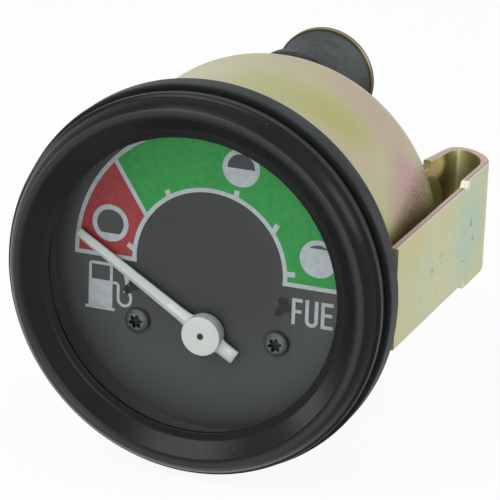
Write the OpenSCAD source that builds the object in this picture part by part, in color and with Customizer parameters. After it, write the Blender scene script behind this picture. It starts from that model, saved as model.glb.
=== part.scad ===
// Electric fuel gauge for a vehicle panel, with its clamp bracket and lamp holder.
// The case axis is Y. The panel's front face lies at y = 0, the glass faces -Y and Z is up.
// Sizes are millimetres. A size that ends in _d is a diameter, _r a radius, _t a thickness.

/* [Case] */
// Diameter of the case behind the panel, the part that fills the panel hole
case_d = 54.5; // [53:0.1:58]
// Sheet thickness of the drawn case
case_wall = 0.6; // [0.4:0.1:0.9]
// Depth of the case from the panel face to its flat back
case_depth = 35; // [33:0.5:45]
// Outer radius of the drawn corner round the back
case_corner_r = 7; // [6:0.5:9]
// How much wider in radius the mouth is, in front of the panel
mouth_step = 0.45; // [0.3:0.05:0.6]
// Length of the cone between mouth and case
mouth_cone = 0.6; // [0.4:0.1:1]

/* [Bezel] */
// How far the bezel stands out beyond the case, all round
bezel_over = 2.75; // [2.4:0.05:4]
// Sheet thickness of the bezel
bezel_t = 0.6; // [0.4:0.05:0.65]
// Width of the bezel's face, from its outer edge to the window
face_w = 6.8; // [6.2:0.1:10]
// Distance of the front ridge from the bezel's outer edge
ridge_in = 2.8; // [2.5:0.1:3.2]
// Height of the ridge in front of the flange
ridge_h = 3.2; // [2.6:0.1:5]
// Height of the straight outer band in front of the flange
band_h = 0.6; // [0.4:0.1:1]

/* [Panel gasket] */
// How far the rubber gasket stands out beyond the case, all round
gasket_over = 3.45; // [2.9:0.05:5]
// Thickness of its wide part
gasket_t = 3.6; // [2:0.1:6]
// How far the collar in front of it lies inside the bezel's outer edge
collar_in = 1; // [0.6:0.1:1.6]
// Thickness of that collar
collar_t = 0.9; // [0.5:0.1:2]

/* [Glass and dial] */
// Thickness of the glass
glass_t = 1.8; // [1.2:0.1:2.4]
// Thickness of the seal behind the glass
seal_t = 0.8; // [0.5:0.1:1.2]
// Width of the seal ring
seal_w = 1.7; // [1.4:0.1:2]
// Wall of the spacer ring between seal and dial
spacer_w = 1; // [0.8:0.1:1.2]
// Depth of the dial's face behind the panel face
dial_y = 1.2; // [0.5:0.1:3]
// Thickness of the dial plate
dial_t = 0.8; // [0.5:0.1:1.2]
// Wall of the inner housing behind the dial
housing_wall = 1.2; // [0.8:0.1:2]

/* [Dial screws] */
// Distance of each dial screw from the pivot
screw_x = 11.4; // [11.4:0.1:13]
// Height of the dial screws relative to the case axis
screw_z = -9.6; // [-10:0.1:-9]
// Head diameter
screw_head_d = 4; // [3.6:0.1:4.4]
// Head height
screw_head_h = 1.2; // [1:0.1:1.5]
// Thread diameter
screw_d = 2; // [1.6:0.1:2.2]
// Length under the head
screw_len = 7; // [5:0.5:9]

/* [Pointer] */
// Height of the pivot relative to the case axis
pivot_z = -9.5; // [-11:0.1:-9]
// Angle of the pointer at its rest stop, counted from +X towards +Z
rest_angle = 148.2; // [146:0.1:150]
// Swing from the rest stop to the full stop
sweep = 112; // [90:1:116]
// Length from the pivot to the tip
pointer_len = 24.8; // [20:0.1:26]
// Width of the hand where it leaves the boss
hand_w = 2.3; // [1.6:0.1:3]
// Width of the hand at its tip
tip_w = 1.2; // [0.6:0.1:1.6]
// Thickness of the hand
hand_t = 0.9; // [0.6:0.1:1.2]
// Diameter of the boss
boss_d = 6.1; // [5:0.1:7]
// Height of the boss
boss_h = 2.2; // [1.8:0.1:2.4]
// Gap between boss and dial
boss_gap = 0.8; // [0.5:0.1:1]
// Distance from the pivot to the end of the tail
tail_len = 6; // [5:0.1:8]
// Width of the tail
tail_w = 2.6; // [2:0.1:3.4]
// Diameter of the spindle
spindle_d = 1; // [0.8:0.1:1.2]

/* [Movement] */
// Thickness of the moulded base behind the dial
base_t = 2; // [1.6:0.1:2.4]
// Diameter of the screw posts on the base
post_d = 3.8; // [3.6:0.1:4]
// Length of the coil former
bobbin_len = 10; // [9:0.1:12]
// Wall of the former at each end of the rotor chamber
bobbin_end = 2; // [1.6:0.1:2.4]
// Diameter of the rotor magnet
rotor_d = 10; // [9:0.1:10.2]
// Gap round the rotor in its chamber
chamber_gap = 0.3; // [0.2:0.05:0.4]
// Thickness of the rotor magnet
rotor_t = 4.6; // [4:0.1:5]
// Depth of each winding
coil_t = 1; // [0.8:0.1:1.1]
// Width of each half winding
coil_w = 3; // [2:0.1:3.4]
// Outer diameter of the brass bushes
bush_d = 2.6; // [2.2:0.1:2.7]
// Wall of the screening can
can_wall = 0.4; // [0.3:0.1:0.5]

/* [Circuit board] */
// Margin of the round board outside the centres of its rivets
board_rim = 1.6; // [1.5:0.1:3]
// Thickness of the board
board_t = 1.6; // [1:0.1:2]
// Gap between the board and the back of the case, inside
board_gap = 3.3; // [3:0.1:5]
// Distance from the lamp's axis down to the cut top edge of the board
board_drop = 8.75; // [7:0.25:12]
// Length of the ballast resistor
resistor_len = 14; // [10:0.5:18]
// Width and thickness of the ballast resistor
resistor_t = 4; // [3:0.5:5]

/* [Terminals] */
// Distance of each terminal from the middle
terminal_x = 7.5; // [7:0.1:9]
// Distance of the terminals from the lower side of the case
terminal_in = 12.65; // [12:0.05:14]
// Width of a flat terminal blade
blade_w = 6.3; // [4.8:0.1:6.3]
// Thickness of a blade
blade_t = 0.8; // [0.5:0.1:1]
// Length of a blade behind its foot
blade_len = 8; // [6:0.5:12]
// Diameter of the insulators
insulator_d = 6.6; // [6:0.1:7]
// Thickness of the insulator outside the case
insulator_t = 1.6; // [1:0.1:2]
// Diameter of the insulator's neck in the case
neck_d = 4.8; // [4:0.1:5.4]
// Diameter of the rivet
rivet_d = 3; // [2.5:0.1:3.4]
// Thickness and extra radius of each rivet head
rivet_head = 0.7; // [0.5:0.1:0.9]

/* [Clamp] */
// Gap between the gasket and the tips of the legs, which the panel fills
panel_t = 2.1; // [0.4:0.1:3.4]
// Diameter of the stud, a metric thread
stud_d = 5; // [4:0.5:6]
// Length of the stud behind the case
stud_len = 17; // [16:0.5:20]
// Thickness of the stud's collars inside and outside the case
stud_collar_t = 1; // [0.8:0.1:1.4]
// Diameter of the stud's collars
stud_collar_d = 9; // [8:0.5:10]
// Thickness of the bracket strap
strap_t = 1.4; // [1:0.1:1.6]
// Width of the legs
leg_w = 16.1; // [12:0.1:17.6]
// Width of the strap round its rear bends
bend_w = 18; // [17.7:0.1:18.6]
// Width of the web and the inner walls
web_w = 15.4; // [12:0.1:17]
// Gap between a leg's tip and the case
leg_gap = 0.92; // [0.84:0.01:1.2]
// Lean of each leg, in degrees
leg_lean = 1.3; // [0.2:0.1:1.8]
// Lean of each inner wall towards the nut, in degrees
wall_lean = 10; // [1:1:14]
// Distance of the web behind the case
web_gap = 3.1; // [2.8:0.1:5]
// Inner radius of the rear bend
bend_r = 3.2; // [2:0.1:3.4]
// Inner radius of the bend into the web
web_bend_r = 1.5; // [1:0.1:2]
// How far the rear bend stands behind the web
bend_rise = 13.5; // [12:0.1:16]
// Distance from a leg's step to the top of the rear bend
step_back = 17.4; // [13:0.1:18]
// Distance from an inner wall's step to the top of the rear bend
wall_step_back = 9.1; // [4.9:0.1:10]
// Thickness of the flat washer
washer_t = 1; // [0.8:0.1:1.2]
// Diameter of the flat washer
washer_d = 10; // [8:0.1:11]
// Thickness of the spring washer
spring_t = 1.2; // [0.8:0.1:1.4]
// Diameter of the spring washer
spring_d = 8.8; // [7.5:0.1:9.5]
// Diameter of the knurled nut
nut_d = 12; // [10:0.5:14]
// Thickness of the knurled nut
nut_t = 5; // [4:0.5:6]
// Number of knurls
knurls = 24; // [16:2:30]

/* [Lamp holder] */
// Distance of the holder's axis from the upper side of the case
lamp_in = 9.5; // [9:0.05:10]
// Diameter of its hole in the case
lamp_hole_d = 12; // [11.5:0.1:12.6]
// Diameter of the wide end of the rubber sleeve
sleeve_d = 16.8; // [15:0.1:16.9]
// Thickness of that wide end
sleeve_base_t = 2; // [1:0.1:3]
// Diameter of the sleeve's waist
waist_d = 12.4; // [12:0.1:14]
// Diameter of the sleeve where it meets the rim
flare_d = 16.1; // [14.5:0.1:16.5]
// Length of the sleeve behind the case
sleeve_len = 15.1; // [12:0.1:20]
// Outer diameter of the metal tube
tube_d = 10; // [9.8:0.1:10.4]
// Wall of the metal tube
tube_wall = 0.25; // [0.15:0.01:0.3]
// Diameter of the metal rim
rim_d = 16.9; // [15.8:0.1:16.9]
// Height of the metal rim
rim_h = 1.3; // [1.1:0.1:2.5]
// Sheet thickness of the rim
rim_t = 0.6; // [0.4:0.1:0.8]
// Diameter of the contact pin
contact_d = 2.4; // [2:0.1:3]
// Diameter of the contact's two heads
contact_head_d = 4; // [3.4:0.1:5]
// Thickness of the contact's inner head
contact_head_t = 1.4; // [1:0.1:2]
// Thickness of its riveted outer head
contact_rivet_t = 0.7; // [0.5:0.1:1]
// Depth of the contact behind the face of the rim
contact_depth = 10.5; // [9:0.1:12]
// Length of the metal tube, in front of the rim
tube_len = 22; // [20:0.5:24]
// Height of the terminal's foot above the holder's axis
lamp_foot_up = 3.2; // [2.6:0.1:4]
// Diameter of the bulb's cap
cap_d = 9; // [8.6:0.1:9.2]
// Length of the bulb's cap
cap_len = 9.5; // [8:0.1:11]
// Diameter of the bulb's glass
bulb_d = 8.6; // [8:0.1:8.8]
// Length of the bulb's glass
bulb_len = 13.5; // [10:0.1:14]

/* [Clearances] */
// Between pieces that are laid into each other
loose = 0.2; // [0.1:0.05:0.3]
// Between a shaft or thread and its hole, in radius
running = 0.05; // [0.02:0.01:0.08]
// Play of the rotor between its bushes, at each end
end_play = 0.1; // [0.05:0.05:0.3]
// Between the lamp holder and the case, which come apart
seat_gap = 0.3; // [0.2:0.05:0.4]
// Radius of the hole round the clamp stud, beyond the stud
stud_play = 0.25; // [0.15:0.05:0.4]

/* [Hidden] */
$fn = 96;

// Colours, as the photograph shows them
yellow_zinc = [0.72, 0.69, 0.50];
black_paint = [0.10, 0.11, 0.11];
black_rubber = [0.20, 0.21, 0.22];
dial_grey = [0.17, 0.18, 0.18];
white_plastic = [0.90, 0.91, 0.88];
clear_glass = [0.85, 0.90, 0.90, 0.35];
brass = [0.78, 0.63, 0.32];
steel = [0.60, 0.61, 0.62];
copper = [0.72, 0.40, 0.22];
amber_board = [0.62, 0.45, 0.22];

// Stack of the front, counted back from the panel face at y = 0
case_r = case_d / 2;
case_in_r = case_r - case_wall;
mouth_r = case_r + mouth_step;
mouth_in_r = mouth_r - case_wall;
curl_y = -gasket_t - collar_t;
flange_y = curl_y - bezel_t;
mouth_y = flange_y - case_wall;
glass_y = mouth_y + glass_t;
spacer_y = glass_y + seal_t;
housing_y = dial_y + dial_t;
back_y = case_depth;
back_in_y = back_y - case_wall;
corner_y = back_y - case_corner_r;
laid_r = case_in_r - loose;
bezel_r = case_r + bezel_over;
flange_r = bezel_r - bezel_t - running;
ridge_r = bezel_r - ridge_in;
window_r = bezel_r - face_w;
gasket_r = case_r + gasket_over;

// Where the housing's rear edge meets the drawn corner, inside
housing_out = laid_r - (case_r - case_corner_r);
housing_end_y = corner_y + sqrt(pow(case_corner_r - case_wall, 2) - pow(housing_out, 2)) - loose;

// Stack of the movement, counted back from the dial
base_y = housing_y + base_t;
coil_b_y = base_y + loose;
coil_a_y = coil_b_y + coil_t;
bobbin_y = coil_a_y + coil_t;
bobbin_mid_y = bobbin_y + bobbin_len / 2;
bobbin_rear_y = bobbin_y + bobbin_len;
can_rear_y = bobbin_rear_y + 2 * coil_t + loose;
chamber_y = bobbin_y + bobbin_end;
chamber_len = bobbin_len - 2 * bobbin_end;
rotor_y = chamber_y + (chamber_len - rotor_t) / 2;
rotor_rear_y = rotor_y + rotor_t;
spindle_r = spindle_d / 2;
bush_r = bush_d / 2;
coil_gap = bush_r + loose / 2;
can_out_r = screw_x - post_d / 2 - loose;
can_r = can_out_r - can_wall;
bobbin_r = sqrt(pow(can_r - loose, 2) - pow(coil_gap + coil_w, 2)) - coil_t;
chamber_r = rotor_d / 2 + chamber_gap;
spindle_end_y = bobbin_rear_y - bobbin_end / 2;
// Stop peg of the rotor, in a slot round the magnet's rear face
peg_r = 0.6;
peg_at = 3.9;
slot_depth = 1.2;
peg_end_y = rotor_rear_y - slot_depth + loose;
peg_half_angle = asin((peg_r + running) / peg_at);

// Pointer, counted forward from the dial
boss_rear_y = dial_y - boss_gap;
boss_front_y = boss_rear_y - boss_h;
hand_y = boss_rear_y - 0.3;
boss_r = boss_d / 2;

// Board and terminals
terminal_z = terminal_in - case_r;
board_r = norm([terminal_x, terminal_z]) + board_rim;
board_rear_y = back_in_y - board_gap;
board_y = board_rear_y - board_t;
blade_y = back_y + insulator_t;
blade_foot = blade_w + blade_t;

// Clamp
stud_r = stud_d / 2;
web_y = back_y + web_gap;
web_rear_y = web_y + strap_t;
washer_y = web_rear_y + washer_t;
nut_y = washer_y + spring_t;
bend_out_r = bend_r + strap_t;
bend_y = web_y + bend_rise - bend_out_r;
leg_len = (bend_y - panel_t - bend_out_r * sin(leg_lean)) / cos(leg_lean);
foot_in_x = case_r + leg_gap;
bend_x = foot_in_x - bend_r * cos(leg_lean) + leg_len * sin(leg_lean);
web_bend_out_r = web_bend_r + strap_t;
web_bend_y = web_y + web_bend_out_r;
web_bend_x = bend_x - (bend_out_r + web_bend_r + (bend_y - web_bend_y) * sin(wall_lean)) / cos(wall_lean);
wall_len = (bend_x - web_bend_x) * sin(wall_lean) + (bend_y - web_bend_y) * cos(wall_lean);
wall_step_y = web_y + bend_rise - wall_step_back;
step_y = web_y + bend_rise - step_back;
// The straight runs are this much thinner on each face than the bends they run into
strap_ease = 0.02;
strap_run_t = strap_t - 2 * strap_ease;
strap_lap = 10 * strap_ease;
step_h = (bend_w - leg_w) / 2;

// Lamp holder
lamp_z = case_r - lamp_in;
sleeve_y = back_y + seat_gap;
rim_y = sleeve_y + sleeve_len - seat_gap;
tube_r = tube_d / 2;
tube_in_r = tube_r - tube_wall;
plug_r = lamp_hole_d / 2 - seat_gap;
tube_y = rim_y - tube_len;
waist_r = waist_d / 2;
sleeve_base_y = sleeve_y + sleeve_base_t;
waist_y = sleeve_base_y + (rim_y - sleeve_base_y) * 0.3;
waist_rise = rim_y - waist_y;
waist_grow = (flare_d - waist_d) / 2;
waist_curve_r = (pow(waist_rise, 2) + pow(waist_grow, 2)) / (2 * waist_grow);
contact_y = rim_y - contact_depth;
contact_r = contact_d / 2;
cap_y = contact_y - cap_len;
rim_floor_y = rim_y + rim_t;

// A solid of revolution about the case axis, drawn as [radius, y]
module turned() { rotate([-90, 0, 0]) rotate_extrude() children(); }

// A straight extrusion along +Y from a drawing in X and Z
module plate(y, t) { translate([0, y, 0]) rotate([90, 0, 0]) mirror([0, 0, 1]) linear_extrude(t) children(); }

// A round bar or hole along +Y
module rod(r, y, len) { translate([0, y, 0]) rotate([-90, 0, 0]) cylinder(r = r, h = len); }

// A rectangle drawn as [radius, y] from one corner to the other
module band(r0, r1, y0, y1) { translate([r0, y0]) square([r1 - r0, y1 - y0]); }

// Half outline of a cup that is open towards -Y
module cup(r, y0, y1, corner) {
  band(0, r, y0, y1 - corner);
  band(0, r - corner, y0, y1);
  translate([r - corner, y1 - corner]) intersection() {
    circle(corner);
    square(corner);
  }
}

// Points of an arc in a [radius, y] drawing
function arc(c, r, a0, a1, n) =
  [for (i = [0:n]) c + r * [cos(a0 + (a1 - a0) * i / n), sin(a0 + (a1 - a0) * i / n)]];

module case_shell() color(yellow_zinc) difference() {
  turned() difference() {
    union() {
      cup(case_r, -mouth_cone, back_y, case_corner_r);
      polygon([[0, mouth_y], [flange_r, mouth_y], [flange_r, flange_y], [mouth_r, flange_y],
               [mouth_r, -mouth_cone], [case_r, 0], [0, 0]]);
    }
    cup(case_in_r, -mouth_cone, back_in_y, case_corner_r - case_wall);
    polygon([[0, mouth_y], [mouth_in_r, mouth_y], [mouth_in_r, -2 * mouth_cone],
             [case_in_r, -mouth_cone], [case_in_r, 0], [0, 0]]);
  }
  translate([0, 0, lamp_z]) rod(lamp_hole_d / 2, corner_y - 1, case_corner_r + 2);
  rod(stud_r + running, back_in_y - 1, case_wall + 2);
  for (side = [-1, 1]) translate([side * terminal_x, 0, terminal_z])
    rod(neck_d / 2 + running, back_in_y - 1, case_wall + 2);
}

// The bezel's outline: skirt, stepped shoulder, rounded ridge, cone and window lip, then back inside
module bezel() {
  skirt_in = flange_r + running;
  ridge_y = mouth_y - ridge_h;
  shoulder_r = bezel_r - bezel_t;
  shoulder_y = mouth_y - band_h - bezel_t;
  nose = 0.9;
  lip_y = mouth_y - bezel_t;
  cone_r = window_r + 1;
  color(black_paint) turned() polygon(concat(
    [[mouth_r + 2 * running, curl_y], [bezel_r - 0.3, curl_y], [bezel_r, curl_y - 0.3]],
    [[bezel_r, mouth_y - band_h], [shoulder_r + 0.15, shoulder_y + 0.1], [shoulder_r, shoulder_y]],
    arc([ridge_r, ridge_y + nose * 1.1], nose * 1.1, -55, -90, 4),
    arc([ridge_r - 0.2, ridge_y + nose], nose, -100, -150, 4),
    arc([cone_r, lip_y - 0.5], 0.5, 30, 90, 3),
    [[window_r, lip_y], [window_r, mouth_y], [cone_r + 0.4, mouth_y]],
    [[ridge_r - 0.5, ridge_y + 1.3], [ridge_r + 0.3, ridge_y + 1.2]],
    [[shoulder_r - 0.5, shoulder_y + 0.4], [skirt_in, mouth_y], [skirt_in, flange_y]],
    [[mouth_r + 2 * running, flange_y]]));
}

module glass() color(clear_glass) rod(mouth_in_r - loose, mouth_y, glass_t);

module glass_seal() color(black_rubber) turned()
  band(mouth_in_r - loose - seal_w, mouth_in_r - loose, glass_y, spacer_y);

module spacer_ring() color(dial_grey) turned() band(laid_r - spacer_w, laid_r, spacer_y, dial_y);

module dial_plate() color(dial_grey) difference() {
  rod(laid_r, dial_y, dial_t);
  translate([0, 0, pivot_z]) rod(bush_r + running, dial_y - 1, dial_t + 2);
  for (side = [-1, 1]) translate([side * screw_x, 0, screw_z])
    rod(screw_d / 2 + running, dial_y - 1, dial_t + 2);
}

// Pan head with a six-lobe recess, and its shank
module dial_screw() {
  lobe_at = screw_head_d * 0.22;
  difference() {
    translate([0, dial_y - screw_head_h, 0]) rotate([-90, 0, 0]) rotate_extrude() intersection() {
      square([screw_head_d / 2, screw_head_h]);
      translate([0, screw_head_d]) circle(screw_head_d);
    }
    plate(dial_y - screw_head_h - 1, 1.6) {
      circle(lobe_at);
      for (i = [0:5]) rotate(60 * i) translate([lobe_at, 0]) circle(lobe_at * 0.32);
    }
  }
  rod(screw_d / 2, dial_y, screw_len);
}

module dial_screws() color(black_paint)
  for (side = [-1, 1]) translate([side * screw_x, 0, screw_z]) dial_screw();

module inner_housing() color(white_plastic) turned()
  band(laid_r - housing_wall, laid_r, housing_y, housing_end_y);

module panel_gasket() {
  edge = 0.4;
  in_r = mouth_r + running;
  color(black_rubber) turned() difference() {
    union() {
      band(in_r, gasket_r - edge, -gasket_t, 0);
      band(in_r, gasket_r, edge - gasket_t, -edge);
      for (y = [edge - gasket_t, -edge]) translate([gasket_r - edge, y]) circle(edge);
      band(in_r, bezel_r - collar_in, curl_y, -gasket_t);
    }
  }
}

module movement_base() color(white_plastic) difference() {
  union() {
    translate([0, 0, pivot_z]) rod(can_out_r, housing_y, base_t);
    for (side = [-1, 1]) translate([side * screw_x, 0, screw_z]) rod(post_d / 2, housing_y, screw_len);
    plate(housing_y, base_t) translate([-screw_x, screw_z - post_d / 2]) square([2 * screw_x, post_d]);
  }
  translate([0, 0, pivot_z]) rod(bush_r + running, housing_y - 1, base_t + 2);
  for (side = [-1, 1]) translate([side * screw_x, 0, screw_z])
    rod(screw_d / 2 + running, housing_y - 1, screw_len + 2);
}

module front_bearing() color(brass) translate([0, 0, pivot_z]) difference() {
  rod(bush_r, housing_y, rotor_y - end_play - housing_y);
  rod(spindle_r + running, housing_y - 1, rotor_y - housing_y + 2);
}

module rear_bearing() color(brass) translate([0, 0, pivot_z]) difference() {
  rod(bush_r, rotor_rear_y + end_play, bobbin_rear_y - rotor_rear_y - end_play);
  rod(spindle_r + running, rotor_rear_y, spindle_end_y + loose - rotor_rear_y);
}

// One half of the coil former, with half the rotor chamber and a seat for a bush
module bobbin_half(y) translate([0, 0, pivot_z]) difference() {
  rod(bobbin_r, y, bobbin_len / 2);
  rod(chamber_r, chamber_y, chamber_len);
  rod(bush_r + running, bobbin_y - 1, bobbin_len + 2);
}

module bobbin_front() color(white_plastic) bobbin_half(bobbin_y);

module bobbin_rear() color(white_plastic) union() {
  bobbin_half(bobbin_mid_y);
  translate([0, 0, pivot_z]) rotate([0, -rest_angle, 0]) translate([peg_at, 0, 0])
    rod(peg_r, peg_end_y, chamber_y + chamber_len - peg_end_y);
}

// Two halves of a winding, one each side of the spindle, round a core
module winding(core_r, y0, y1) for (side = [-1, 1])
  translate([side * (coil_gap + coil_w / 2) - coil_w / 2, 0, 0]) rotate([90, 0, 90]) linear_extrude(coil_w)
    difference() {
      translate([y0 - coil_t, -core_r - coil_t]) square([y1 - y0 + 2 * coil_t, 2 * (core_r + coil_t)]);
      translate([y0, -core_r]) square([y1 - y0, 2 * core_r]);
    }

module coil_a() color(copper) translate([0, 0, pivot_z]) winding(bobbin_r, bobbin_y, bobbin_rear_y);

module coil_b() color(copper) translate([0, 0, pivot_z]) rotate([0, 90, 0])
  winding(bobbin_r, coil_a_y, bobbin_rear_y + coil_t);

module movement_can() color(steel) translate([0, 0, pivot_z]) turned() difference() {
  band(0, can_out_r, base_y, can_rear_y + can_wall);
  band(0, can_r, base_y, can_rear_y);
}

// Small bar magnet on the back of the can, in line with the pointer at rest
module return_magnet() {
  magnet_len = 5;
  magnet_t = 1.4;
  color(steel) translate([0, 0, pivot_z]) rotate([0, -rest_angle, 0])
    translate([-magnet_len / 2, can_rear_y + can_wall, -magnet_t / 2]) cube([magnet_len, magnet_t, magnet_t]);
}

module circuit_board() color(amber_board) difference() {
  plate(board_y, board_t) intersection() {
    circle(board_r);
    translate([-board_r, -board_r]) square([2 * board_r, board_r + lamp_z - board_drop]);
  }
  for (side = [-1, 1]) translate([side * terminal_x, 0, terminal_z])
    rod(rivet_d / 2 + running, board_y - 1, board_t + 2);
}

module ballast_resistor() color(white_plastic)
  translate([-resistor_len / 2, board_y - resistor_t, 0]) cube([resistor_len, resistor_t, resistor_t]);

module terminal_insulators() color(black_rubber) for (side = [-1, 1])
  translate([side * terminal_x, 0, terminal_z]) difference() {
    union() {
      rod(insulator_d / 2, board_rear_y, back_in_y - board_rear_y);
      rod(neck_d / 2, back_in_y, case_wall);
      rod(insulator_d / 2, back_y, insulator_t);
    }
    rod(rivet_d / 2 + running, board_rear_y - 1, blade_y - board_rear_y + 2);
  }

module terminal_rivets() color(brass) for (side = [-1, 1])
  translate([side * terminal_x, 0, terminal_z]) {
    rod(rivet_d / 2 + rivet_head, board_y - rivet_head, rivet_head);
    rod(rivet_d / 2, board_y - rivet_head / 2, blade_y + blade_t + rivet_head - board_y);
    rod(rivet_d / 2 + rivet_head, blade_y + blade_t, rivet_head);
  }

// Foot with a rivet hole, and a flat blade that stands back from its lower edge
module blade() {
  foot_z = -insulator_d / 2;
  chamfer = 0.8;
  difference() {
    translate([-blade_w / 2, blade_y, foot_z]) cube([blade_w, blade_t, blade_foot - blade_t]);
    rod(rivet_d / 2 + running, blade_y - 1, blade_t + 2);
  }
  translate([0, blade_y, foot_z - blade_t]) linear_extrude(blade_t) polygon([
    [-blade_w / 2, 0], [blade_w / 2, 0],
    [blade_w / 2, blade_len - chamfer], [blade_w / 2 - chamfer, blade_len],
    [chamfer - blade_w / 2, blade_len], [-blade_w / 2, blade_len - chamfer]]);
}

module terminal_blades() color(steel)
  for (side = [-1, 1]) translate([side * terminal_x, 0, terminal_z]) blade();

// Threaded stud, shown plain, with a collar on each side of the case's back
module clamp_stud() color(yellow_zinc) {
  tip = 0.6;
  rod(stud_collar_d / 2, back_in_y - stud_collar_t, stud_collar_t);
  rod(stud_collar_d / 2, back_y, stud_collar_t);
  rod(stud_r, back_in_y - stud_collar_t / 2, case_wall + stud_collar_t / 2 + stud_len - tip);
  translate([0, back_y + stud_len - tip, 0]) rotate([-90, 0, 0])
    cylinder(r1 = stud_r, r2 = stud_r - tip, h = tip);
}

// The hand lies along +X: an outline that narrows, a section with a ridge and a bevelled tip
module hand() {
  root = boss_r * 0.6;
  edge_h = hand_t * 0.4;
  bevel = 2.2;
  intersection() {
    plate(-hand_t, hand_t) polygon([
      [root, -hand_w / 2], [pointer_len, -tip_w / 2], [pointer_len, tip_w / 2], [root, hand_w / 2]]);
    rotate([90, 0, 90]) linear_extrude(pointer_len)
      polygon([
        [0, hand_w / 2], [-edge_h, hand_w / 2], [-hand_t, 0], [-edge_h, -hand_w / 2], [0, -hand_w / 2]]);
    translate([0, 0, -hand_w]) linear_extrude(2 * hand_w)
      polygon([
        [0, 0], [0, -hand_t], [pointer_len - bevel, -hand_t], [pointer_len, -hand_t * 0.2], [pointer_len, 0]]);
  }
}

module pointer() color(white_plastic) translate([0, 0, pivot_z]) rotate([0, -rest_angle, 0]) difference() {
  union() {
    rod(boss_r, boss_front_y, boss_h);
    translate([0, hand_y, 0]) hand();
    translate([-tail_len, hand_y - hand_t, -tail_w / 2]) cube([tail_len - boss_r / 2, hand_t, tail_w]);
  }
  rod(spindle_r, boss_front_y - 1, boss_h + 2);
}

module spindle() color(steel) translate([0, 0, pivot_z])
  rod(spindle_r, boss_front_y, spindle_end_y - boss_front_y);

// Disc magnet on the spindle, with the slot that the stop peg runs in
module rotor_magnet() color(steel) translate([0, 0, pivot_z]) difference() {
  rod(rotor_d / 2, rotor_y, rotor_t);
  rod(spindle_r, rotor_y - 1, rotor_t + 2);
  rotate([-90, 0, 0]) rotate([0, 0, -rest_angle - sweep - peg_half_angle])
    rotate_extrude(angle = sweep + 2 * peg_half_angle)
      band(peg_at - peg_r - loose, peg_at + peg_r + loose, rotor_rear_y - slot_depth, rotor_rear_y + 1);
}

// A bend of the strap with this inner radius, cut to the part that lies in the shapes given after it
module bend(r) intersection() {
  difference() {
    circle(r + strap_t);
    circle(r);
  }
  union() children();
}

// Half of the strap seen from above: web, bend, inner wall, rear bend and leaning leg
module strap_half() {
  translate([-running, web_y + strap_ease]) square([web_bend_x + running + strap_lap, strap_run_t]);
  translate([web_bend_x, web_bend_y]) bend(web_bend_r) intersection() {
    translate([0, -2 * web_bend_out_r]) square(2 * web_bend_out_r);
    rotate(-wall_lean) translate([0, -2 * web_bend_out_r]) square(2 * web_bend_out_r);
  }
  translate([bend_x, bend_y]) {
    bend(bend_r) {
      square(2 * bend_out_r);
      rotate(90 - wall_lean) square(2 * bend_out_r);
    }
    rotate(-wall_lean) translate([-bend_out_r + strap_ease, -wall_len - strap_lap])
      square([strap_run_t, wall_len + 2 * strap_lap]);
    rotate(-leg_lean) translate([bend_r + strap_ease, -leg_len])
      square([strap_run_t, leg_len + bend_out_r * sin(leg_lean) + strap_lap]);
  }
}

// What is cut from one edge of the strap: the step above the legs, and the narrower web and walls
module edge_trim() {
  reach = 2 * case_r;
  translate([-reach, 0, 0]) rotate([90, 0, 90]) linear_extrude(2 * reach)
    polygon([
      [0, leg_w / 2], [step_y, leg_w / 2], [step_y + step_h, bend_w / 2], [step_y + step_h, bend_w], [0, bend_w]]);
  translate([-bend_x, step_y, web_w / 2]) cube([2 * bend_x, wall_step_y - step_y, bend_w]);
}

module clamp_bracket() color(yellow_zinc) difference() {
  translate([0, 0, -bend_w / 2]) linear_extrude(bend_w) {
    strap_half();
    mirror([1, 0, 0]) strap_half();
  }
  edge_trim();
  mirror([0, 0, 1]) edge_trim();
  rod(stud_r + stud_play, web_y - 1, strap_t + 2);
}

module flat_washer() color(yellow_zinc) difference() {
  rod(washer_d / 2, web_rear_y, washer_t);
  rod(stud_r + stud_play, web_rear_y - 1, washer_t + 2);
}

module spring_washer() color(steel) difference() {
  rod(spring_d / 2, washer_y, spring_t);
  rod(stud_r + stud_play, washer_y - 1, spring_t + 2);
  translate([-0.4, washer_y - 1, 0]) rotate([0, 0, -12]) cube([0.8, spring_t + 2, spring_d]);
}

module clamp_nut() color(yellow_zinc) difference() {
  rod(nut_d / 2, nut_y, nut_t);
  rod(stud_r + running, nut_y - 1, nut_t + 2);
  for (i = [0:knurls - 1]) rotate([0, i * 360 / knurls, 0]) translate([nut_d / 2 + 0.25, 0, 0])
    rod(nut_d * 0.05, nut_y - 1, nut_t + 2);
}

// Rubber sleeve: plug in the case's hole, wide end, hollow waist and flare under the rim
module holder_sleeve() color(black_rubber) translate([0, 0, lamp_z]) turned() difference() {
  union() {
    band(tube_r + running, plug_r, back_in_y - 1, sleeve_base_y);
    band(tube_r + running, sleeve_d / 2, sleeve_y, sleeve_base_y);
    band(tube_r + running, flare_d / 2, sleeve_base_y, rim_y);
  }
  intersection() {
    translate([waist_r + waist_curve_r, waist_y]) circle(waist_curve_r);
    band(0, 2 * waist_curve_r, sleeve_base_y, rim_y);
  }
}

// Plated tube that takes the bulb, spread into a dished rim at its rear end
module holder_shell() {
  rim_r = rim_d / 2;
  dish = rim_h * 0.55;
  color(yellow_zinc) translate([0, 0, lamp_z]) turned() polygon([
    [tube_in_r, tube_y], [tube_r, tube_y], [tube_r, rim_y], [flare_d / 2 - 0.1, rim_y], [rim_r, rim_y + dish],
    [rim_r, rim_y + rim_h], [rim_r - rim_t, rim_y + rim_h], [rim_r - rim_t, rim_y + dish + 0.2],
    [flare_d / 2 - 0.4, rim_floor_y], [tube_in_r, rim_floor_y]]);
}

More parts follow.
